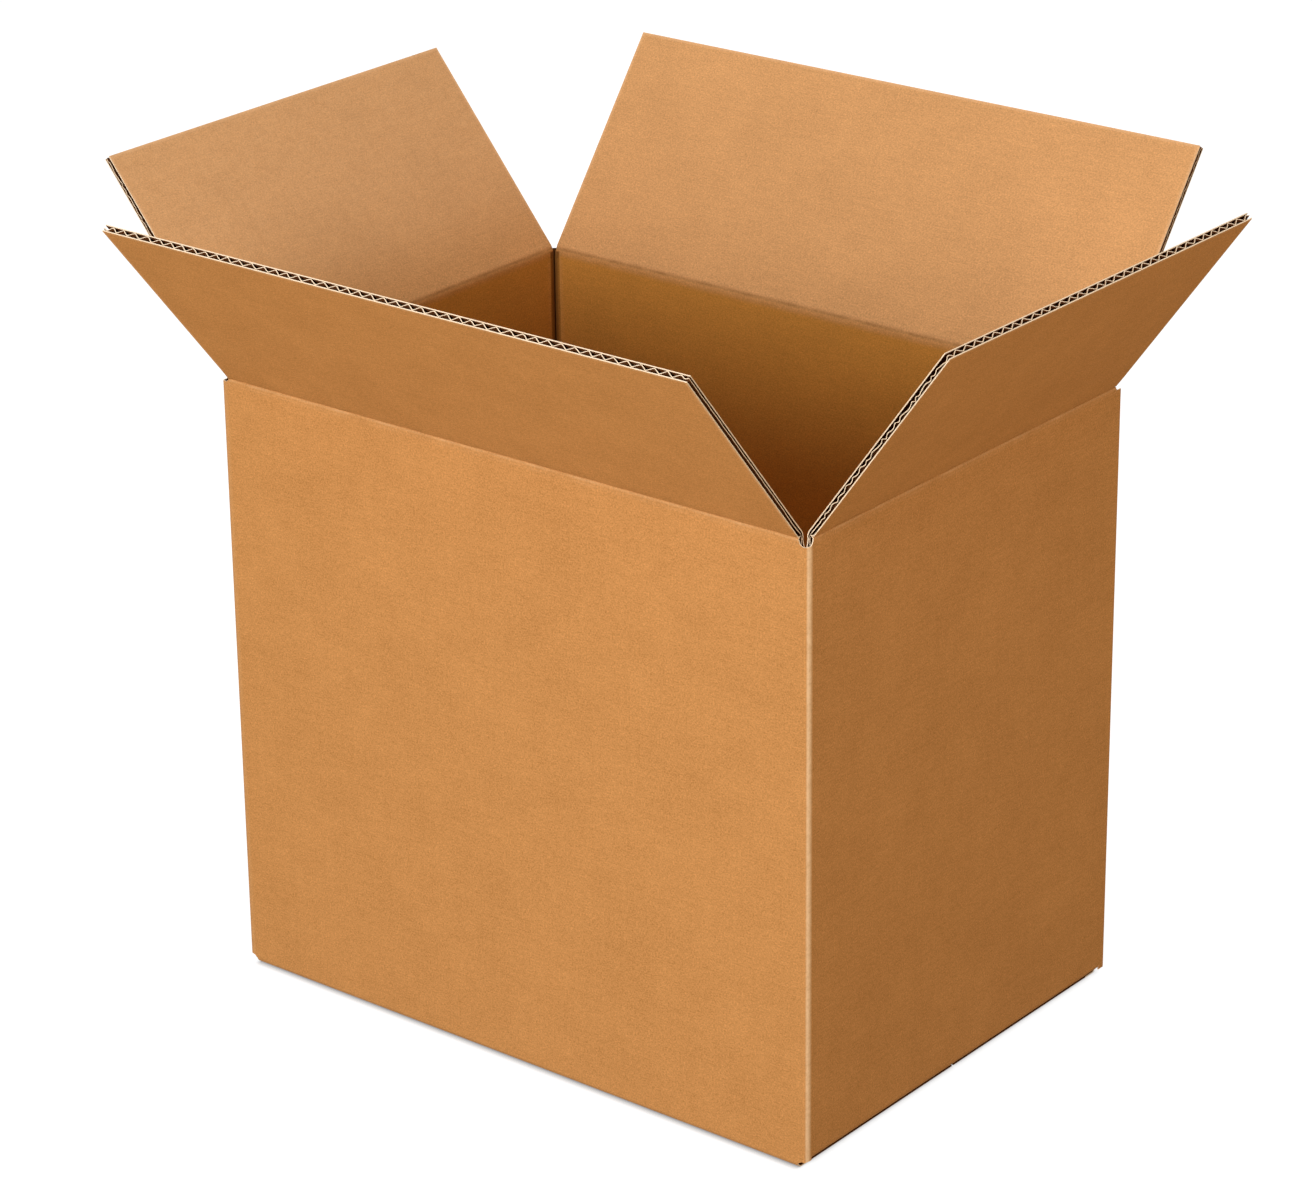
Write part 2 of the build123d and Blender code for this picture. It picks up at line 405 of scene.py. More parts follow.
def board_panel(
    paper, side, height, run, across, start, end, half, sheet_way, seed, edges, rim=EDGE, painted_sheen=0.0
):
    """A flat stretch of board, from its start to its cut tip, with open flutes on its edges.

    It springs from a fold at a height on the wall's outside. run and across, in the plane of depth and
    height, are the way to its tip and the way from its outside to its inside. sheet_way is 1 where it lies
    above its wall on the flat sheet, and -1 below. edges says where the fluted paper shows on the two side
    edges: its level between the liners at the fold and at the tip, how far it swings about that, and how
    long a swing is. painted_sheen is how pale its inside is towards the tip, as a painted sheen."""

    def at(along, forward, level):
        plane = np.array((0, height)) + forward[..., None] * run + level[..., None] * across
        return side.place(plane[..., 0], plane[..., 1], along)

    places_forward = np.concatenate([np.linspace(start, end - rim_steps[-1], 4)[:-1], end - rim_steps[::-1]])
    along, forward = np.meshgrid(spread(half), places_forward, indexing="ij")
    places = side.on_sheet(along, height + sheet_way * forward)
    marks = rim_wear * bell(np.minimum(half - np.abs(along), end - forward), rim_wear_width)
    # painted sheen on the inside, palest towards the tip
    wear_and_sheen = marks + painted_sheen * np.clip((forward - start) / sheen_run, 0, 1)
    for look, level, level_behind, wear_and_light in (
        (OUTSIDE, 0, liner, marks),
        (INSIDE, board, board - liner, wear_and_sheen),
    ):
        face, behind = (at(along, forward, np.full_like(along, part)) for part in (level, level_behind))
        paper.sheet(face, behind, places, look, FLUTE, wear_and_light, rim)

    def wave_at(line):
        drift = flute_drift * wander(line / flute_drift_run, seed)
        jitter = flute_jitter * wander(line / flute_jitter_run, seed + 1)
        share = 1 - flute_dent + flute_dent * wander(line / flute_dent_run, seed + 2)
        return fluted(2 * pi * (line + drift + jitter) / flute_pitch + seed) * share

    def flutes(line, rows, waves):
        """Fluted paper from its wave's height along a line, for each of some rows."""
        levels = [board / 2 + flute_swing * np.clip(wave, -1, 1) for wave in waves]
        forward = np.broadcast_to(rows, (len(line), len(rows)))
        grids = []
        for shift in (medium / 2, -medium / 2):
            moved = np.stack([offset_line(np.stack([line, level], 1), shift) for level in levels], 1)
            grids.append(at(np.clip(moved[..., 0], -half, half), forward, moved[..., 1]))
        places = side.on_sheet(line[:, None], height + sheet_way * forward)
        paper.sheet(*grids, places, FLUTE, FLUTE, 0.0, rim)

    inside = half - edge_margin
    line = np.linspace(-inside, inside, round(2 * inside / flute_pitch * flute_points) + 1)
    rows = np.linspace(start - medium_overlap, end, 4)
    flutes(line, rows, [wave_at(line)] * len(rows))
    rows = np.linspace(start - medium_overlap, end, round((end - start) / edge_spacing))
    for sign, (level, tip_level, swing_share, period) in zip((-1, 1), edges):
        line = np.sort(sign * (half - np.linspace(0, edge_margin, 9)))
        drift = swing_drift * wander(rows / swing_drift_run, seed + 5 + sign)
        swings = np.sin(2 * pi * rows / period + drift)
        swings = swings * (swing_mean + swing_stray * wander(rows / swing_stray_run, seed + 8 + sign))
        edge = np.interp(rows, (start, start + edge_level_run, end), (0, level, tip_level))
        edge = edge + np.clip((rows - start) / edge_swing_run, 0, 1) * swing_share * swings
        near = bell(half - np.abs(line), edge_width)
        flutes(line, rows, [wave_at(line) * (1 - near) + wanted * near for wanted in edge])


# Upper creases

def crease_lines(side):
    """Outer liner, medium and inner liner through a crease: (face, behind) lines of depth and height."""
    base = np.array((0, crown_base))
    through = np.array((board, 0))
    tip = side.fold + side.to_tip * crease_above
    pinch = side.fold + side.halfway * pinch_depth
    outer = round_path(
        [base, side.fold - (0, pinch_gap), pinch, side.fold + side.to_tip * pinch_gap, tip],
        [lip_radius, 0, lip_radius],
    )
    past_lip = outer[-2] + lip_steps[:, None] * (outer[-1] - outer[-2])
    outer = np.vstack([np.linspace(outer[0], outer[1], 7)[:-1], outer[1:-2], past_lip])

    inner = round_path([base + through, side.inner_fold, tip + side.to_inside * board], [inner_bend])
    inner = resample(inner, inner_spacing)
    run = path_length(inner)
    from_crease = run_from(inner, side.inner_fold)
    fade = np.clip(np.minimum(run, run[-1] - run) / crease_fade, 0, 1)
    groove = groove_depth * bell(from_crease, groove_width)
    lips = inner_lip * bell(np.abs(from_crease) - inner_lip_offset, inner_lip_width)
    inner = inner + line_normals(inner)[0] * (fade * (groove - lips))[:, None]

    crushed = side.fold + side.halfway * crushed_level
    middle = round_path([base + through / 2, crushed, tip + side.to_inside * board / 2], [inner_bend])
    middle = resample(middle, medium_spacing)
    half_medium = medium / 2 * (1 - crushed_share * bell(run_from(middle, crushed), crushed_width))
    return [
        (outer, offset_line(outer, -liner)),
        (offset_line(middle, half_medium), offset_line(middle, -half_medium)),
        (inner, offset_line(inner, liner)),
    ]


def crease_wear_and_shading(layer, from_crease):
    """Wear with painted highlights, and painted shade below zero, at a distance above a layer's crease."""
    marks = np.zeros_like(from_crease)
    for strength, place, width in crease_wear_and_shading_lines[layer]:
        marks += strength * bell(from_crease - place, width)
    if layer == OUTER:
        marks += np.where(from_crease > 0, crease_shade * np.exp(-from_crease / crease_shade_run), 0)
    return marks


def score_shade(from_fold):
    """Painted shade in the inside corners' channels, at a distance from the fold, and how pale their rims
    are.
    """
    return np.interp(from_fold, score_places, score_shades)


def crease_piece(side, seed, materials):
    """The liners that run on from a wall into its flap, bending between the two."""
    paper = Paper()
    half = side.half_wall - slot_half
    ends = side.half_wall - crease_stations
    span = half - crease_spacing
    along = np.concatenate([-ends, np.linspace(-span, span, round(2 * half / crease_spacing)), ends[::-1]])
    from_outside = side.half_wall - np.abs(along)
    strength = 1 + crease_mark_stray * wander(along / crease_mark_stray_run, seed + 11)
    for layer, (face, behind) in enumerate(crease_lines(side)):
        run = path_length(face)
        share = run / run[-1]
        fade = np.sin(pi * share) ** 2
        uneven = crease_stray * wander(along / crease_stray_run, seed + layer)
        moved = (line_normals(face)[0] * fade[:, None])[None] * uneven[:, None, None]
        below = np.clip((side.crease - channel_end - face[:, 1]) / channel_fade, 0, 1)
        reach = 1 + (side.half_flap / half - 1) * (1 - below)
        on_wall = face[:, 1] < side.crease + crease_turn
        from_crease = np.where(on_wall, face[:, 1] - side.crease, (face - side.fold) @ side.to_tip)
        sunk = 0.0
        shade = 0.0
        if layer == INNER:
            from_crease = run_from(face, side.inner_fold)
            sunk = channel_at(from_outside)[:, None] * below[None]
            shade = score_shade(from_outside)[:, None] * below[None]
        grids = []
        for line in (face, behind):
            plane = line[None] + moved
            grids.append(side.place(plane[..., 0] - sunk, plane[..., 1], along[:, None] * reach[None]))
        places = side.on_sheet(along[:, None], crown_base + share[None] * (crease_below + crease_above))
        # pale lines and painted shade along the crease, and on the inner liner the corner channels' painted
        # shade
        marks = crease_wear_and_shading(layer, from_crease)[None] * strength[:, None] + shade
        look = (OUTSIDE, FLUTE, INSIDE)[layer]
        paper.sheet(*grids, places, look, FLUTE, marks)
    made = paper.piece(f"{side.name}_crease", materials)
    turn = np.array((-sin(side.angle / 2), cos(side.angle / 2)))
    middle = side.fold + side.halfway * pinch_depth
    start, end = (side.place(*(middle + turn * reach), 0) * mm for reach in (-blend_half, blend_half))
    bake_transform(made)


# Flaps

def flap_piece(side, seed, edges, painted_sheen, materials):
    """The board of an open flap, from past its crease to its cut edges."""
    paper = Paper()
    board_panel(
        paper, side, side.crease, side.to_tip, side.to_inside, crease_above, side.flap_length,
        side.half_flap, 1, seed, edges, EDGE, painted_sheen,
    )
    made = paper.piece(f"{side.name}_board", materials)
    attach(made, side.flap)
    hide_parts(side.flap)


# Walls and bottom

def slot_curve(from_fold, radius):
    """Rise of a slot's rounded end towards its side, at a distance from the fold line."""
    from_side = np.clip(slot_half - from_fold, 0, radius)
    return radius - np.sqrt(np.maximum(radius**2 - (radius - from_side) ** 2, 0))


def slot_top(from_fold, depth):
    """Top of the walls beside a fold line: the slot's rounded end, and the start of the creases past it."""
    in_slot = front.crease - depth + slot_curve(from_fold, np.minimum(depth, slot_round))
    return np.where(from_fold <= slot_half, in_slot, crown_base)


def slot_low(from_fold, span_low):
    """Underside of the walls beside a fold line, arched over the slot's end."""
    arch = post_bottom - slot_curve(from_fold, slot_round)
    in_slot = np.maximum(arch, np.minimum(span_low - arch_drop, post_bottom))
    return np.where(from_fold <= slot_half, in_slot, span_low)


def channel_line():
    """Inside of a wall towards a corner: distances from the next wall's outside and from its own."""
    corner = (slit_depth, slit_depth)
    mouth = (slit_mouth, channel_depth + channel_rise)
    foot = (channel_foot, channel_depth)
    rim = (channel_half, board)
    return round_path([corner, mouth, foot, rim, (channel_half + board, board)], channel_rounds, 4)


def channel_at(from_outside):
    """How far the inside of a wall is sunk by the channel at a distance from the next wall's outside."""
    line = channel_line()
    return board - np.interp(from_outside, line[:, 0], line[:, 1])


def corner_points(layer, end):
    """One side of a fold in the plan, from its middle outwards: distances from the next wall's outside and
    from its own, and distance from the fold line on the sheet. end is 1 on the wall before the fold."""
    if layer == OUTER:
        turn = radians(45) * np.linspace(1, 0, 7)
        own, other = (fold_before, fold_after) if end > 0 else (fold_after, fold_before)
        line = np.stack([own * (1 - np.sin(turn)), other * (1 - np.cos(turn))], 1)
        run = path_length(line)
        return line, run / run[-1] * line[-1, 0]
    line = channel_line()[:-1]
    run = np.sort(np.append(line[:, 0], (slot_half, slot_half + slot_step)))
    return np.stack([run, np.interp(run, line[:, 0], line[:, 1])], 1), run


def tube_line(layer):
    """Plan of a liner round the walls in the sheet's order.

    Each row has the point, its distance along the sheet, its distance from the fold line, its wall's floor,
    the depth of the slot above it, how much lower the inner liner ends there, how pale the fold is (wear and
    a painted highlight), and 1 or -1 on the wall before or after the fold, or 0 at the glued joint."""
    rows = []
    inset = 0 if layer == OUTER else board
    for before, side in ((right, back), (back, left), (left, front), (front, right)):
        ends = []
        for end in (-1, 1):
            joint = (side is back and end < 0) or (side is right and end > 0)
            if not joint:
                line, runs = corner_points(layer, end)
                entries = [(across, depth, run) for (across, depth), run in zip(line, runs)]
            elif side is right:
                entries = [(joint_setback, inset, joint_setback)]
            elif layer == INNER:
                entries = [(board, inset, board)]
            else:
                turn = np.linspace(radians(90), 0, 9)
                across = board + joint_groove * (1 - np.sin(turn))
                entries = list(zip(across, joint_groove * (1 - np.cos(turn)), across))
            nearest = entries[-1][2]
            entries += [(far, inset, far) for far in fold_stations if far > nearest + slot_step / 2]
            corner = side if end > 0 else before
            slot = (slot_depths[corner], inner_drops[corner], fold_wear_and_highlight[corner])
            way = 0 if joint else end
            ends.append([(end * (side.half_wall - a), d, f, slot, way) for a, d, f in entries])
        span = side.half_wall - fold_stations[-1]
        flat = np.linspace(-span, span, round(2 * span / panel_spacing) + 1)[1:-1]
        middle = [(place, inset, side.half_wall - abs(place), (0, 0, 0), 0) for place in flat]
        for place, depth, from_fold, slot, way in ends[0] + middle + ends[1][::-1]:
            x, y = side.place(depth, 0, place)[:2]
            sheet = side.middle + np.sign(place) * (side.half_wall - from_fold)
            rows.append((x, y, sheet, from_fold, side.floor, *slot, way))
    return np.array(rows)


def wall_liner(paper, layer):
    """One liner round all four walls, from the bottom folds to the slots and creases."""
    rows = tube_line(layer)
    steps = np.linalg.norm(np.diff(rows[:, :2], axis=0), axis=1)
    rows = rows[np.concatenate([[True], steps > same_point])]
    plan = rows[:, :2]
    sheet, from_fold, floor, slot, drop, paleness, way = rows[:, 2:].T
    top = slot_top(from_fold, slot)
    if layer == OUTER:
        look = OUTSIDE
        behind = offset_line(plan, liner)
        low = slot_low(from_fold, floor + bottom_fold_radius)
        # a pale fold: wear, and a painted highlight on its round
        before = bell(from_fold, fold_wear_and_highlight_width)
        after = np.interp(from_fold, fold_band_places, fold_band_shares)
        marks = paleness * np.select([way > 0, way < 0], [before, after], 0)
    else:
        look = INSIDE
        behind = offset_line(plan, -liner)
        top = top - drop * np.clip((slot_half - from_fold) / drop_run, 0, 1)
        low = np.where(from_fold <= slot_half, post_bottom, floor + board + inner_start)
        # painted shade in the corner channels, with pale rims
        marks = np.where(way == 0, 0, score_shade(from_fold))
    height = low[:, None] + wall_shares[None] * (top - low)[:, None]
    grids = []
    for line in (plan, behind):
        columns = np.broadcast_to(line[:, None], (*height.shape, 2))
        grids.append(np.concatenate([columns, height[..., None]], -1))
    places = np.stack(np.broadcast_arrays(sheet[:, None], height), -1)
    rim_top = np.where(slot[:-1] == slot_depths[back], FLUTE, EDGE)
    paper.sheet(*grids, places, look, FLUTE, marks[:, None], EDGE, rim_top)


def corner_mediums(paper):
    """The fluted paper that shows in the slots' cut edges, crushed towards each fold."""
    distance = np.linspace(slot_half + beside_gap, beside_reach, 50)
    crush = np.clip((distance - slot_half) / beside_crush, 0, 1)
    heights = np.linspace(crown_base - beside_height, crown_base - beside_top, 3)
    for side in sides:
        line = side.half_wall - distance
        wave = flute_swing * crush * fluted(2 * pi * line / flute_pitch)
        level = board / 2 - beside_shift * (1 - crush) + wave
        for end in (-1, 1):
            grids = []
            for shift in (medium / 2, -medium / 2):
                moved = offset_line(np.stack([end * line, level], 1), shift)
                grids.append(side.place(moved[:, 1][:, None], heights[None], moved[:, 0][:, None]))
            paper.sheet(*grids, side.on_sheet(end * line[:, None], heights[None]), FLUTE, FLUTE)


def bottom_fold(paper, side):
    """The liners through a bottom fold, from the wall into its glued bottom flap."""
    base = np.array((0.0, side.floor))
    radius = bottom_fold_radius
    outer = round_path([base + (0, radius), base, base + (bottom_start, 0)], [radius - hair], 12)
    inside = base + (board, board)
    foot = base + (channel_depth, channel_depth)
    reach = channel_foot - board
    inner = round_path(
        [
            inside + (0, inner_start),
            inside + (0, reach),
            foot + (0, reach),
            foot + (0, score_corner),
            foot + (score_corner, 0),
            foot + (reach, 0),
            inside + (reach, 0),
            inside + (bottom_start - board, 0),
        ],
        [score_round, score_round, 0, 0, score_round, score_round],
        4,
    )
    along = spread(side.half_flap + bottom_ease)
    rim = FLUTE if side.floor else EDGE
    for look, face, behind in (
        (OUTSIDE, outer, offset_line(outer, liner)),
        (INSIDE, inner, offset_line(inner, -liner)),
    ):
        run = path_length(face)
        share = run / run[-1]
        height = face[0, 1] - share * (face[0, 1] - side.floor + bottom_start)
        grids = [side.place(line[:, 0][None], line[:, 1][None], along[:, None]) for line in (face, behind)]
        paleness = bottom_wear if look == OUTSIDE else 0.0
        marks = paleness * bell(share - bottom_wear_place, bottom_wear_width)
        paper.sheet(*grids, side.on_sheet(along[:, None], height[None]), look, FLUTE, marks[None], rim)


def bottom_flap(paper, side, seed):
    """A bottom flap, folded in and glued. Its cut edges take the fluted paper's dark look, a painted shade
    under the walls.
    """
    edge = (0, 0, 0.5, 9)
    board_panel(
        paper, side, side.floor, (1, 0), (0, 1), bottom_start, bottom_reach,
        side.half_flap + bottom_ease, -1, seed, (edge, edge), FLUTE,
    )


def glue_tab(paper):
    """The crushed tab of the back wall, glued inside the right wall."""
    across = np.linspace(board, tab_width, 9)
    inset = tab_margin + tab_taper * (across - board) / (tab_width - board)
    low = post_bottom + inset
    high = front.crease - slot_depths[right] - inset
    height = low[:, None] + np.linspace(0, 1, 13)[None] * (high - low)[:, None]
    along = (right.half_wall - across)[:, None]
    face = right.place(board + tab_thickness, height, along)
    behind = right.place(board, height, along)
    paper.sheet(face, behind, back.on_sheet(-back.half_wall - across[:, None], height), INSIDE, FLUTE)


def joint_edge(paper):
    """The fluted paper in the right wall's cut edge, beside the glued joint."""
    heights = np.linspace(post_bottom + joint_gap, crown_base, 60)[None]
    along = (right.half_wall - joint_setback - joint_steps)[:, None]
    level = board / 2 + joint_stray * wander(heights / joint_stray_run, 5)
    grids = [right.place(level + shift, heights, along) for shift in (-medium / 2, medium / 2)]
    paper.sheet(*grids, right.on_sheet(along, heights), FLUTE, FLUTE)


def body_piece(materials):
    """Walls, bottom and glued joint: the folded sheet without its open flaps."""
    paper = Paper()
    wall_liner(paper, OUTER)
    wall_liner(paper, INNER)
    corner_mediums(paper)
    for number, side in enumerate(sides):
        bottom_fold(paper, side)
        bottom_flap(paper, side, 40 + number)
    glue_tab(paper)
    joint_edge(paper)
    made = paper.piece("box_sheet", materials)
    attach(made, "box")
    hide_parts("box_body")


# Materials

class Nodes:
    """A short way to write a material's nodes."""

    def __init__(self, name):
        self.material = bpy.data.materials.new(name)
        self.material.use_nodes = True
        self.tree = self.material.node_tree
        self.shader = self.tree.nodes["Principled BSDF"]

    def add(self, kind, settings=None, **inputs):
        node = self.tree.nodes.new(kind)
        for key, value in (settings or {}).items():
            setattr(node, key, value)
        for key, value in inputs.items():
            self.put(node.inputs[key.replace("_", " ")], value)
        return node

    def put(self, socket, value):
        if isinstance(value, bpy.types.NodeSocket):
            self.tree.links.new(value, socket)
        else:
            socket.default_value = value

    def surface(self, colour, roughness, specular):
        """The shader's own colour, roughness and specular level."""
        self.put(self.shader.inputs["Base Color"], colour)
        self.put(self.shader.inputs["Roughness"], roughness)
        self.put(self.shader.inputs["Specular IOR Level"], specular)

    def math(self, operation, *values):
        node = self.tree.nodes.new("ShaderNodeMath")
        node.operation = operation
        for socket, value in zip(node.inputs, values):
            self.put(socket, value)
        return node.outputs[0]

    def total(self, *values):
        """The sum of several values."""
        made = values[0]
        for value in values[1:]:
            made = self.math("ADD", made, value)
        return made

    def centred(self, value, strength):
        """A noise about zero, at a strength."""
        return self.math("MULTIPLY", self.math("SUBTRACT", value, 0.5), strength)

    def mix(self, share, first, second, blend="MIX", clamp=True):
        node = self.tree.nodes.new("ShaderNodeMix")
        node.clamp_factor = clamp
        node.data_type = "RGBA"
        node.blend_type = blend
        for socket, value in zip((node.inputs[0], node.inputs[6], node.inputs[7]), (share, first, second)):
            self.put(socket, value)
        return node.outputs[2]

    def on_sheet(self):
        """A place on the flat sheet, in metres."""
        return self.add("ShaderNodeUVMap", {"uv_map": "sheet"}).outputs[0]


def rgb(red, green, blue):
    return (red, green, blue, 1.0)


def noise(nodes, stretch, shift, detail=3.0, roughness=0.6):
    """Noise over the sheet, stretched each way, with a shift that sets the pattern apart."""
    mapping = nodes.add("ShaderNodeMapping", {}, Vector=nodes.on_sheet(), Location=shift, Scale=stretch)
    made = nodes.add(
        "ShaderNodeTexNoise", {"noise_dimensions": "3D"}, Vector=mapping.outputs[0],
        Scale=1.0, Detail=detail, Roughness=roughness,
    )
    return made.outputs[0]


def fibres(nodes, angle, shift):
    """Short paper fibres that lie at about one angle on the sheet."""
    fibre_size = (0.0042, 0.0007, 1)
    mapping = nodes.add(
        "ShaderNodeMapping", {"vector_type": "TEXTURE"}, Vector=nodes.on_sheet(), Location=shift,
        Rotation=(0, 0, radians(angle)), Scale=fibre_size,
    )
    made = nodes.add(
        "ShaderNodeTexNoise", {"noise_dimensions": "3D"}, Vector=mapping.outputs[0],
        Scale=1.0, Detail=1.0, Roughness=0.5, Distortion=0.5,
    )
    return made.outputs[0]


def kraft(name, light, dark, pale, painted_shade_colour, seed, washboard, inside_shade_tint):
    """Kraft liner: clouds, mottle, fibres, flutes that show through, and wear with painted light and shade.

    inside_shade_tint deepens the colour from the creases down: painted shade on the walls inside the box."""
    fibre_angles = (8, 62, 128)
    inside_shade_start = -0.002
    inside_shade_end = 0.005
    relief_depth = 0.00006
    nodes = Nodes(name)
    centred = nodes.centred
    cloud = noise(nodes, stretch=(18, 18, 1), shift=(seed, 2, 0), detail=2.0, roughness=0.9)
    mottle = noise(nodes, stretch=(125, 140, 1), shift=(seed, 5, 1), detail=3.0, roughness=1.0)
    fine = noise(nodes, stretch=(1000, 1200, 1), shift=(seed, 8, 2), detail=1.0)
    streak = noise(nodes, stretch=(45, 420, 1), shift=(seed, 3, 3), detail=2.0)
    threads = [fibres(nodes, angle, (seed, number, 0)) for number, angle in enumerate(fibre_angles)]
    apart = nodes.add("ShaderNodeSeparateXYZ", {}, Vector=nodes.on_sheet())
    phase = nodes.math("MULTIPLY", apart.outputs[0], 2 * pi / (flute_pitch * mm))
    wave = nodes.math("SINE", nodes.math("ADD", phase, nodes.math("MULTIPLY", cloud, 7.0)))
    tone = nodes.total(
        centred(cloud, 0.9),
        centred(mottle, 0.8),
        centred(streak, 0.6),
        centred(fine, 3.0),
        *[centred(thread, 0.75) for thread in threads],
        nodes.math("MULTIPLY", wave, 0.02 * washboard),
        0.5,
    )
    colour = nodes.mix(tone, dark, light, clamp=False)
    # painted shade inside the box: the walls' inside turns darker and deeper from the creases down
    if inside_shade_tint:
        depth = nodes.math("SUBTRACT", front.crease * mm, apart.outputs[1])
        low = nodes.add(
            "ShaderNodeMapRange", {"interpolation_type": "SMOOTHSTEP"}, Value=depth,
            From_Min=inside_shade_start, From_Max=inside_shade_end,
        )
        colour = nodes.mix(low.outputs[0], colour, nodes.mix(1.0, colour, inside_shade_tint, "MULTIPLY"))
    # wear_and_light: pale wear, painted highlights and sheen above zero; painted shade below zero
    wear_and_light = nodes.add("ShaderNodeAttribute", {"attribute_name": "wear_and_light"}).outputs["Fac"]
    marks = nodes.math("MULTIPLY", wear_and_light, nodes.math("ADD", 0.8, centred(mottle, 1.2)))
    colour = nodes.mix(nodes.math("MAXIMUM", marks, 0.0), colour, pale)
    shade = nodes.math("MAXIMUM", nodes.math("MULTIPLY", wear_and_light, -1.0), 0.0)
    colour = nodes.mix(shade, colour, painted_shade_colour)
    nodes.surface(colour, nodes.math("ADD", 0.78, centred(mottle, 0.3)), 0.04)
    relief = nodes.total(
        nodes.math("MULTIPLY", wave, 0.2 * washboard),
        centred(mottle, 0.9),
        centred(fine, 0.6),
    )
    bump = nodes.add("ShaderNodeBump", {}, Height=relief, Strength=1.0, Distance=relief_depth)
    nodes.put(nodes.shader.inputs["Normal"], bump.outputs[0])
    return nodes.material


def raw_paper(name, dark, light, stretch, shift):
    """Paper without a finish: the cut edges, and the flutes with the hidden backs of the liners."""
    nodes = Nodes(name)
    mottle = noise(nodes, stretch, shift)
    nodes.surface(nodes.mix(mottle, dark, light), 0.9, 0.0)
    return nodes.material


def paper_materials():
    """The four looks of the paper, in the order of their numbers."""
    # pale: wear, painted highlights and sheen; painted_shade_colour: painted shade in creases and corner
    # channels
    pale = rgb(0.97, 0.64, 0.36)
    painted_shade_colour = rgb(0.12, 0.045, 0.012)
    outside = kraft(
        "kraft_outside", rgb(0.655, 0.301, 0.096), rgb(0.515, 0.229, 0.068), pale, painted_shade_colour,
        seed=1, washboard=1.0, inside_shade_tint=None,
    )
    # its inside_shade_tint paints the shade on the walls inside the box
    inside = kraft(
        "kraft_inside", rgb(0.66, 0.335, 0.13), rgb(0.52, 0.262, 0.1), pale, painted_shade_colour,
        seed=21, washboard=0.7, inside_shade_tint=rgb(0.98, 0.86, 0.4),
    )
    edge = raw_paper(
        "cut_paper_edge", rgb(0.8, 0.57, 0.36), rgb(0.95, 0.78, 0.57), (600, 600, 1), (3, 1, 0)
    )
    # the fluted paper's own brown, made darker to paint the shade in the flutes' hollows
    flute = raw_paper(
        "fluted_paper", rgb(0.1, 0.032, 0.009), rgb(0.19, 0.066, 0.02), (300, 300, 1), (6, 4, 0)
    )
    return [outside, inside, edge, flute]


# Stage, light and camera

def floor_material():
    """White to the camera, with the shadows that fall on it and a contact shadow painted from ambient
    occlusion; a dim warm card to other light.
    """
    contact_reach = 0.004
    nodes = Nodes("white_floor")
    nodes.surface(rgb(0.25, 0.18, 0.07), 1.0, 0.0)
    path = nodes.add("ShaderNodeLightPath")
    seen = nodes.math("MAXIMUM", path.outputs["Is Camera Ray"], path.outputs["Is Glossy Ray"])
    lit = nodes.add("ShaderNodeBsdfDiffuse", {}, Color=rgb(0.24, 0.24, 0.24))
    # painted contact shadow: the glow dims where the box is close by
    contact = nodes.add("ShaderNodeAmbientOcclusion", {"samples": 8}, Distance=contact_reach)
    strength = nodes.math("MULTIPLY_ADD", contact.outputs["AO"], 0.8, 0.14)
    glow = nodes.add("ShaderNodeEmission", {}, Color=rgb(1, 1, 1), Strength=strength)
    both = nodes.add("ShaderNodeAddShader")
    nodes.put(both.inputs[0], lit.outputs[0])
    nodes.put(both.inputs[1], glow.outputs[0])
    chosen = nodes.add("ShaderNodeMixShader", {}, Fac=seen)
    nodes.put(chosen.inputs[1], nodes.shader.outputs[0])
    nodes.put(chosen.inputs[2], both.outputs[0])
    nodes.put(nodes.tree.nodes["Material Output"].inputs["Surface"], chosen.outputs[0])
    return nodes.material


def make_floor():
    half = 6.0
    corners = [(-half, -half, 0), (half, -half, 0), (half, half, 0), (-half, half, 0)]
    mesh = bpy.data.meshes.new("floor")
    mesh.from_pydata(corners, [], [(0, 1, 2, 3)])
    mesh.materials.append(floor_material())
    floor = bpy.data.objects.new("floor", mesh)
    bpy.context.scene.collection.objects.link(floor)


def make_world(strength, colour):
    """Even light, and plain white behind everything that the camera sees."""
    world = bpy.data.worlds.new("studio")
    world.use_nodes = True
    bpy.context.scene.world = world
    tree = world.node_tree
    light = tree.nodes["Background"]
    light.inputs["Color"].default_value = rgb(*colour)
    light.inputs["Strength"].default_value = strength
    white = tree.nodes.new("ShaderNodeBackground")
    white.inputs["Color"].default_value = rgb(1, 1, 1)
    white.inputs["Strength"].default_value = 1.0
    path = tree.nodes.new("ShaderNodeLightPath")
    seen = tree.nodes.new("ShaderNodeMath")
    seen.operation = "MAXIMUM"
    tree.links.new(path.outputs["Is Camera Ray"], seen.inputs[0])
    tree.links.new(path.outputs["Is Glossy Ray"], seen.inputs[1])
    chosen = tree.nodes.new("ShaderNodeMixShader")
    tree.links.new(seen.outputs[0], chosen.inputs[0])
    tree.links.new(light.outputs[0], chosen.inputs[1])
    tree.links.new(white.outputs[0], chosen.inputs[2])
    tree.links.new(chosen.outputs[0], tree.nodes["World Output"].inputs["Surface"])


def direction(azimuth, elevation):
    """From the object towards an azimuth and elevation, in degrees; azimuth 0 is the front."""
    turn, rise = radians(azimuth), radians(elevation)
    return Vector((sin(turn) * cos(rise), -cos(turn) * cos(rise), sin(rise)))


def make_lamp(name, azimuth, elevation, distance, size, power, colour=(1, 1, 1)):
    """A large soft panel lamp that faces the middle of the box."""
    lamp_aim = Vector((0, 0, 0.2))
    lamp = bpy.data.lights.new(name, "AREA")
    lamp.shape = "DISK"
    lamp.size = size
    lamp.energy = power
    lamp.color = colour
    made = bpy.data.objects.new(name, lamp)
    bpy.context.scene.collection.objects.link(made)
    towards = direction(azimuth, elevation)
    made.location = lamp_aim + towards * distance
    made.rotation_mode = "QUATERNION"
    made.rotation_quaternion = (-towards).to_track_quat("-Z", "Y")


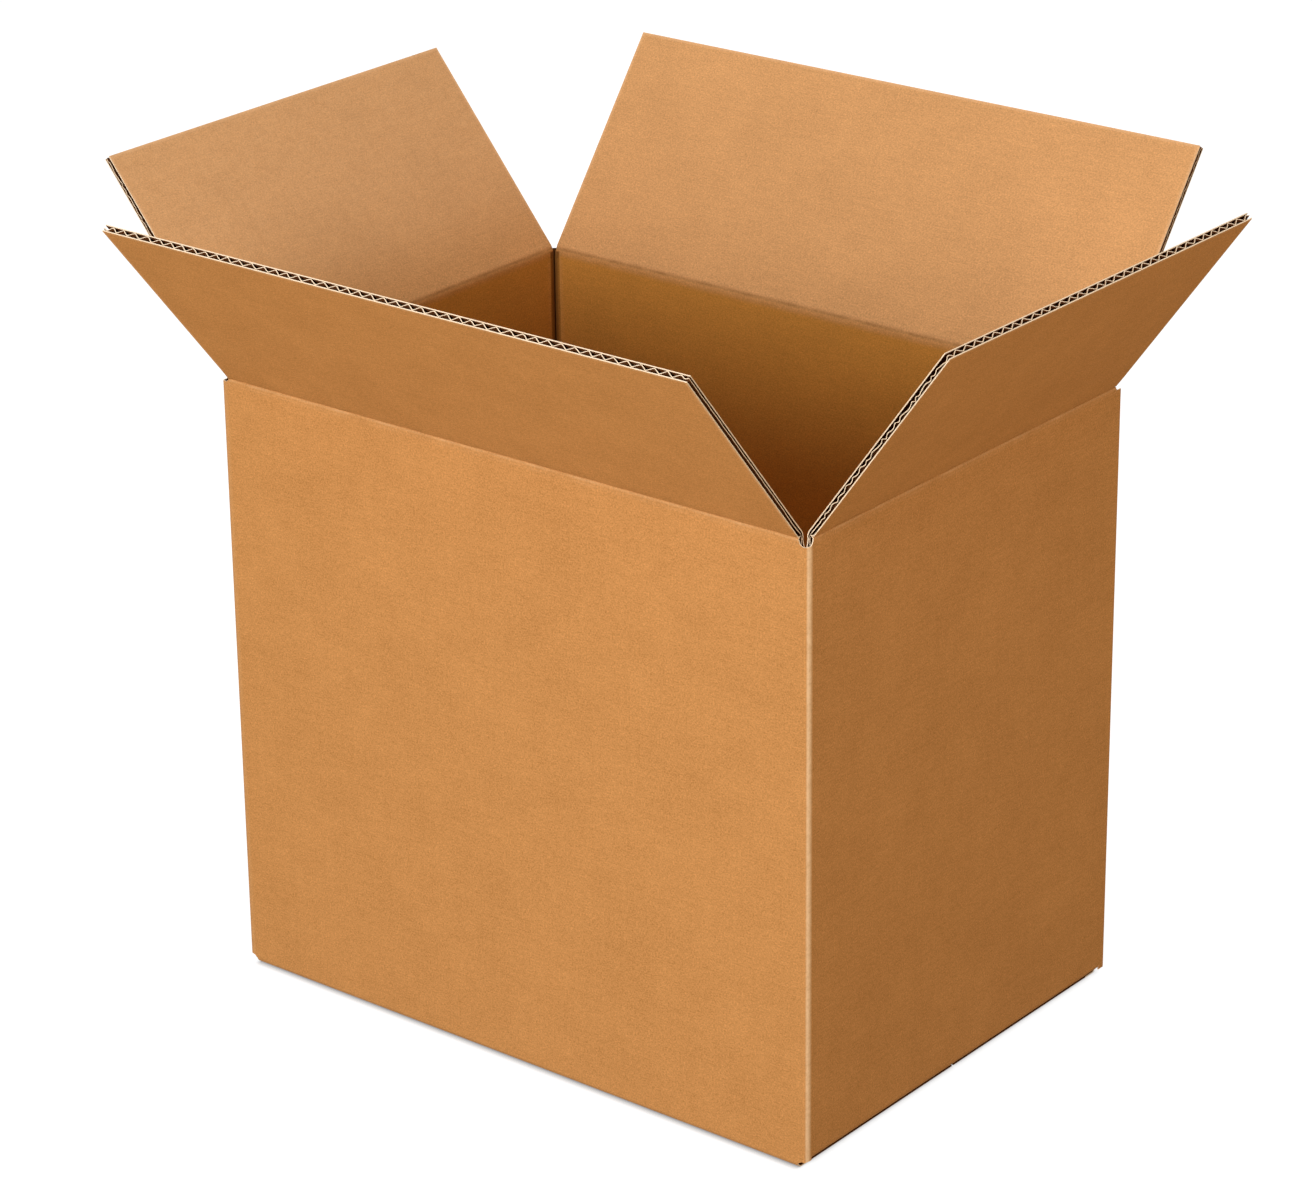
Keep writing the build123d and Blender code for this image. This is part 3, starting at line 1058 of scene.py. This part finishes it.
def make_camera():
    """The photograph's view, fitted to the edges of the walls and flaps."""
    camera_azimuth = 38.791
    camera_elevation = 22.653
    camera_roll = radians(-0.655)
    camera_aim = Vector((-0.058, 0.0594, 0.1829))
    camera_distance = 2.45
    focal_pixels = 4473.27
    image_width = 1312
    camera = bpy.data.cameras.new("camera")
    camera.sensor_width = 36
    camera.lens = focal_pixels / image_width * camera.sensor_width
    camera.clip_end = 50
    made = bpy.data.objects.new("camera", camera)
    bpy.context.scene.collection.objects.link(made)
    behind = direction(camera_azimuth, camera_elevation)
    level = (-behind).cross(Vector((0, 0, 1))).normalized()
    upright = behind.cross(level)
    sideways = level * cos(camera_roll) + upright * sin(camera_roll)
    upwards = upright * cos(camera_roll) - level * sin(camera_roll)
    turn = Matrix((sideways, upwards, behind)).transposed()
    made.matrix_world = Matrix.Translation(camera_aim + behind * camera_distance) @ turn.to_4x4()
    bpy.context.scene.camera = made


materials = paper_materials()
body_piece(materials)

# Where the fluted paper shows on each flap's two side edges, in the sheet's order: its level at the fold and
# at the tip, from -1 at the outer liner to 1 at the inner one, how far it swings about that, and how long a
# swing is
flap_edges = {
    front: ((0, 0, 0.5, 8), (0.35, 0.3, 0.08, 25)),
    back: ((0, -0.3, 0.5, 8), (-0.2, 0, 0.4, 8)),
    left: ((0, 0, 0.5, 8), (-0.35, -0.35, 0.4, 7.2)),
    right: ((0.15, -0.4, 0.55, 6.7), (0, 0, 0.5, 8)),
}
# a painted sheen on the left flap's inside, palest towards its tip
flap_sheen = {front: 0.0, back: 0.0, left: 0.17, right: 0.0}
for number, side in enumerate(sides):
    flap_piece(side, 10 * number + 1, flap_edges[side], flap_sheen[side], materials)
    crease_piece(side, 10 * number + 5, materials)

make_floor()
make_world(0.15, (1, 0.88, 0.72))
make_lamp("key", 5, 24, distance=3.0, size=1.0, power=49, colour=(1, 1.06, 1.16))
make_lamp("front_low", 5, 8, distance=3.0, size=1.4, power=26, colour=(1, 1, 0.98))
make_lamp("right", 85, 15, distance=1.9, size=0.8, power=11.8, colour=(1, 0.93, 0.86))
make_lamp("top", 0, 89, distance=2.6, size=1.4, power=27, colour=(1, 1, 1.03))
make_lamp("back", 215, 32, distance=3.0, size=1.4, power=12)
make_camera()
bpy.context.scene.view_settings.view_transform = "Standard"
